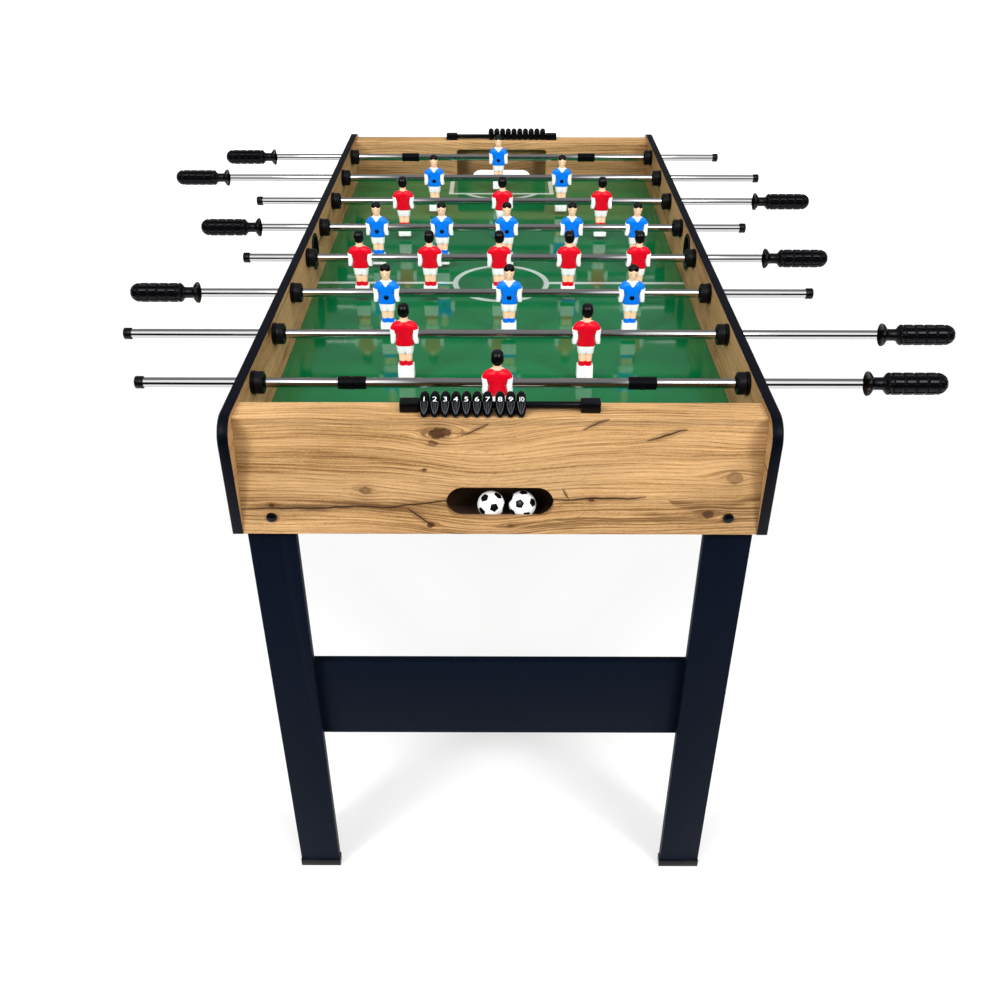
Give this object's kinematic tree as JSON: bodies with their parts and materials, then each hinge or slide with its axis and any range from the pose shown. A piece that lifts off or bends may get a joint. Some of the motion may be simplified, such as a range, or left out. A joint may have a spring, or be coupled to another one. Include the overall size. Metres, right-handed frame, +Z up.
{
  "type": "foosball table",
  "caption": "Oak-look table football cabinet on four black legs, with sliding and spinning rods carrying red and blue players, end goals, ball returns and bead scorers.",
  "frame": {"origin": "on the floor, at the centre of the rectangle that the cabinet covers", "axes": "+Z up, +Y along the table from the near end to the far end, +X to the right seen from the near end"},
  "size_m": [1.1835, 1.2184, 0.785],
  "materials": {
    "oak_board": "knotty oak print on board, satin",
    "dark_board": "dark stained board, matt",
    "raw_board": "raw board",
    "black_edge_band": "satin edge band",
    "black_board": "black laminate, satin",
    "pitch_print": "glossy printed pitch",
    "black_plastic": "moulded, satin",
    "black_rubber": "matt rubber",
    "chrome": "bright plated tube",
    "zinc_steel": "zinc plated",
    "red_team": "painted moulded figure",
    "blue_team": "painted moulded figure",
    "ball_plastic": "glossy ball"
  },
  "bodies": {
    "cabinet": {"side_panel_left": "oak_board", "side_panel_right": "oak_board", "side_edge_bands": "black_edge_band", "end_panel_near": "oak_board", "end_panel_far": "oak_board", "top_rails": "oak_board", "goal_walls": "oak_board", "ball_trays": "dark_board", "playfield": "pitch_print", "playfield_battens": "raw_board", "ball_entry_rings": "black_plastic", "rod_bearings": "black_plastic", "leg_near_left": "black_board", "leg_near_right": "black_board", "leg_far_left": "black_board", "leg_far_right": "black_board", "foot_caps": "black_plastic", "crossbars": "black_board", "leg_bolts_and_screws": "zinc_steel", "bolt_caps": "black_plastic", "scorer_brackets_and_bars": "black_plastic"},
    "rod_1_bumpers": {"rod_1_bumpers": "black_rubber"},
    "rod_1": {"rod_1_tube": "chrome", "rod_1_players": "blue_team", "rod_1_handle_and_end_cap": "black_plastic", "rod_1_collars": "black_plastic"},
    "rod_2_bumpers": {"rod_2_bumpers": "black_rubber"},
    "rod_2": {"rod_2_tube": "chrome", "rod_2_players": "blue_team", "rod_2_handle_and_end_cap": "black_plastic"},
    "rod_3_bumpers": {"rod_3_bumpers": "black_rubber"},
    "rod_3": {"rod_3_tube": "chrome", "rod_3_players": "red_team", "rod_3_handle_and_end_cap": "black_plastic"},
    "rod_4_bumpers": {"rod_4_bumpers": "black_rubber"},
    "rod_4": {"rod_4_tube": "chrome", "rod_4_players": "blue_team", "rod_4_handle_and_end_cap": "black_plastic"},
    "rod_5_bumpers": {"rod_5_bumpers": "black_rubber"},
    "rod_5": {"rod_5_tube": "chrome", "rod_5_players": "red_team", "rod_5_handle_and_end_cap": "black_plastic"},
    "rod_6_bumpers": {"rod_6_bumpers": "black_rubber"},
    "rod_6": {"rod_6_tube": "chrome", "rod_6_players": "blue_team", "rod_6_handle_and_end_cap": "black_plastic"},
    "rod_7_bumpers": {"rod_7_bumpers": "black_rubber"},
    "rod_7": {"rod_7_tube": "chrome", "rod_7_players": "red_team", "rod_7_handle_and_end_cap": "black_plastic"},
    "rod_8_bumpers": {"rod_8_bumpers": "black_rubber"},
    "rod_8": {"rod_8_tube": "chrome", "rod_8_players": "red_team", "rod_8_handle_and_end_cap": "black_plastic", "rod_8_collars": "black_plastic"},
    "near_scorer_beads_1_to_7": {"near_scorer_beads_1_to_7": "black_plastic"},
    "near_scorer_beads_8_to_10": {"near_scorer_beads_8_to_10": "black_plastic"},
    "far_scorer_beads": {"far_scorer_beads": "black_plastic"},
    "ball_1": {"ball_1": "ball_plastic"},
    "ball_2": {"ball_2": "ball_plastic"}
  },
  "joints": [
    {"name": "rod_1_spin", "type": "hinge", "parent": "cabinet", "child": "rod_1_bumpers", "pos_m": [0, 0.47775, 0.743], "axis": [1, 0, 0], "continuous": true},
    {"name": "rod_1_slide", "type": "slide", "parent": "rod_1_bumpers", "child": "rod_1", "axis": [1, 0, 0], "range_m": [-0.0843, 0.0959]},
    {"name": "rod_2_spin", "type": "hinge", "parent": "cabinet", "child": "rod_2_bumpers", "pos_m": [0, 0.34125, 0.743], "axis": [1, 0, 0], "continuous": true},
    {"name": "rod_2_slide", "type": "slide", "parent": "rod_2_bumpers", "child": "rod_2", "axis": [1, 0, 0], "range_m": [-0.13565, 0.14805]},
    {"name": "rod_3_spin", "type": "hinge", "parent": "cabinet", "child": "rod_3_bumpers", "pos_m": [0, 0.20475, 0.743], "axis": [1, 0, 0], "continuous": true},
    {"name": "rod_3_slide", "type": "slide", "parent": "rod_3_bumpers", "child": "rod_3", "axis": [1, 0, 0], "range_m": [-0.0897, 0.0855]},
    {"name": "rod_4_spin", "type": "hinge", "parent": "cabinet", "child": "rod_4_bumpers", "pos_m": [0, 0.06825, 0.743], "axis": [1, 0, 0], "continuous": true},
    {"name": "rod_4_slide", "type": "slide", "parent": "rod_4_bumpers", "child": "rod_4", "axis": [1, 0, 0], "range_m": [-0.0584, 0.0398]},
    {"name": "rod_5_spin", "type": "hinge", "parent": "cabinet", "child": "rod_5_bumpers", "pos_m": [0, -0.06825, 0.743], "axis": [1, 0, 0], "continuous": true},
    {"name": "rod_5_slide", "type": "slide", "parent": "rod_5_bumpers", "child": "rod_5", "axis": [1, 0, 0], "range_m": [-0.0466, 0.0516]},
    {"name": "rod_6_spin", "type": "hinge", "parent": "cabinet", "child": "rod_6_bumpers", "pos_m": [0, -0.20475, 0.743], "axis": [1, 0, 0], "continuous": true},
    {"name": "rod_6_slide", "type": "slide", "parent": "rod_6_bumpers", "child": "rod_6", "axis": [1, 0, 0], "range_m": [-0.0993, 0.0759]},
    {"name": "rod_7_spin", "type": "hinge", "parent": "cabinet", "child": "rod_7_bumpers", "pos_m": [0, -0.34125, 0.743], "axis": [1, 0, 0], "continuous": true},
    {"name": "rod_7_slide", "type": "slide", "parent": "rod_7_bumpers", "child": "rod_7", "axis": [1, 0, 0], "range_m": [-0.13525, 0.14845]},
    {"name": "rod_8_spin", "type": "hinge", "parent": "cabinet", "child": "rod_8_bumpers", "pos_m": [0, -0.47775, 0.743], "axis": [1, 0, 0], "continuous": true},
    {"name": "rod_8_slide", "type": "slide", "parent": "rod_8_bumpers", "child": "rod_8", "axis": [1, 0, 0], "range_m": [-0.0866, 0.0936]},
    {"name": "near_scorer_slide_1_to_7", "type": "slide", "parent": "cabinet", "child": "near_scorer_beads_1_to_7", "axis": [1, 0, 0], "range_m": [0, 0.001]},
    {"name": "near_scorer_slide_8_to_10", "type": "slide", "parent": "cabinet", "child": "near_scorer_beads_8_to_10", "axis": [1, 0, 0], "range_m": [-0.001, 0.056]},
    {"name": "far_scorer_slide", "type": "slide", "parent": "cabinet", "child": "far_scorer_beads", "axis": [1, 0, 0], "range_m": [-0.058, 0]},
    {"name": "ball_1_roll_along_tray", "type": "slide", "parent": "cabinet", "child": "ball_1", "axis": [1, 0, 0], "range_m": [-0.205, 0.002]},
    {"name": "ball_2_roll_along_tray", "type": "slide", "parent": "cabinet", "child": "ball_2", "axis": [1, 0, 0], "range_m": [-0.002, 0.19]}
  ]
}
